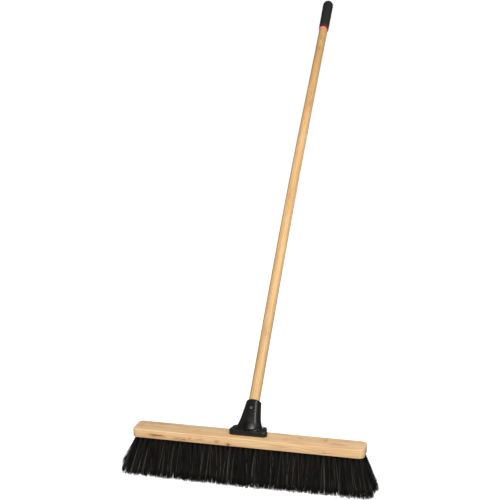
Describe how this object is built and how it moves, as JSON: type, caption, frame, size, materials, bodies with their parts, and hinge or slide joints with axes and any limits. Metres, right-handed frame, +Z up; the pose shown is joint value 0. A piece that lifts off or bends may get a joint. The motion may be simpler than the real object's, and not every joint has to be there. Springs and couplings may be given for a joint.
{
  "type": "push broom",
  "caption": "Wide push broom: drilled wooden block with flared dark bristle rows, moulded bracket, angled wooden handle held by a screw, and a rubber grip.",
  "frame": {"origin": "on the floor plane that the bristle tips touch, under the middle of the brush block", "axes": "+Z up, X along the brush block, handle leans towards +Y at 45 degrees"},
  "size_m": [0.696, 1.1512, 1.2205],
  "materials": {
    "block_wood": "sanded hardwood, thin clear lacquer, pale tan with small knots",
    "handle_wood": "turned hardwood under clear gloss lacquer, warm honey",
    "bristle": "stiff black polypropylene filaments, slightly glossy, cut ends",
    "bracket_plastic": "moulded black plastic, satin",
    "screw_steel": "zinc plated, satin",
    "ring_red": "moulded red plastic",
    "grip_rubber": "black rubber sleeve, matt"
  },
  "bodies": {
    "head": {"brush_block": "block_wood", "handle_bracket": "bracket_plastic", "bracket_screw_left": "screw_steel", "bracket_screw_right": "screw_steel"},
    "row1": {"tufts_row1_left": "bristle", "tufts_row1_middle": "bristle", "tufts_row1_right": "bristle"},
    "row2": {"tufts_row2_left": "bristle", "tufts_row2_middle": "bristle", "tufts_row2_right": "bristle"},
    "row3": {"tufts_row3_left": "bristle", "tufts_row3_middle": "bristle", "tufts_row3_right": "bristle"},
    "row4": {"tufts_row4_left": "bristle", "tufts_row4_middle": "bristle", "tufts_row4_right": "bristle"},
    "row5": {"tufts_row5_left": "bristle", "tufts_row5_middle": "bristle", "tufts_row5_right": "bristle"},
    "handle": {"handle": "handle_wood", "grip_ring": "ring_red", "handle_grip": "grip_rubber"},
    "screw": {"handle_screw": "screw_steel"}
  },
  "joints": [
    {"name": "bristle_flex", "type": "hinge", "parent": "head", "child": "row3", "pos_m": [0, 0, 0.095], "axis": [1, 0, 0], "range_deg": [-20, 20], "stiffness_Nm_per_rad": 2},
    {"name": "bristle_flex_row1", "type": "hinge", "parent": "head", "child": "row1", "pos_m": [0, -0.024, 0.095], "axis": [1, 0, 0], "range_deg": [-20, 20], "stiffness_Nm_per_rad": 2},
    {"name": "bristle_flex_row2", "type": "hinge", "parent": "head", "child": "row2", "pos_m": [0, -0.012, 0.095], "axis": [1, 0, 0], "range_deg": [-20, 20], "stiffness_Nm_per_rad": 2},
    {"name": "bristle_flex_row4", "type": "hinge", "parent": "head", "child": "row4", "pos_m": [0, 0.012, 0.095], "axis": [1, 0, 0], "range_deg": [-20, 20], "stiffness_Nm_per_rad": 2},
    {"name": "bristle_flex_row5", "type": "hinge", "parent": "head", "child": "row5", "pos_m": [0, 0.024, 0.095], "axis": [1, 0, 0], "range_deg": [-20, 20], "stiffness_Nm_per_rad": 2},
    {"name": "handle_pull", "type": "slide", "parent": "head", "child": "handle", "axis": [0, 0.7071, 0.7071], "range_m": [0, 0.11]},
    {"name": "handle_screw_out", "type": "slide", "parent": "head", "child": "screw", "axis": [0, -0.7071, 0.7071], "range_m": [0, 0.02]}
  ],
  "couplings": [
    {"joint": "bristle_flex_row1", "follows": "bristle_flex", "ratio": 1},
    {"joint": "bristle_flex_row2", "follows": "bristle_flex", "ratio": 1},
    {"joint": "bristle_flex_row4", "follows": "bristle_flex", "ratio": 1},
    {"joint": "bristle_flex_row5", "follows": "bristle_flex", "ratio": 1}
  ]
}
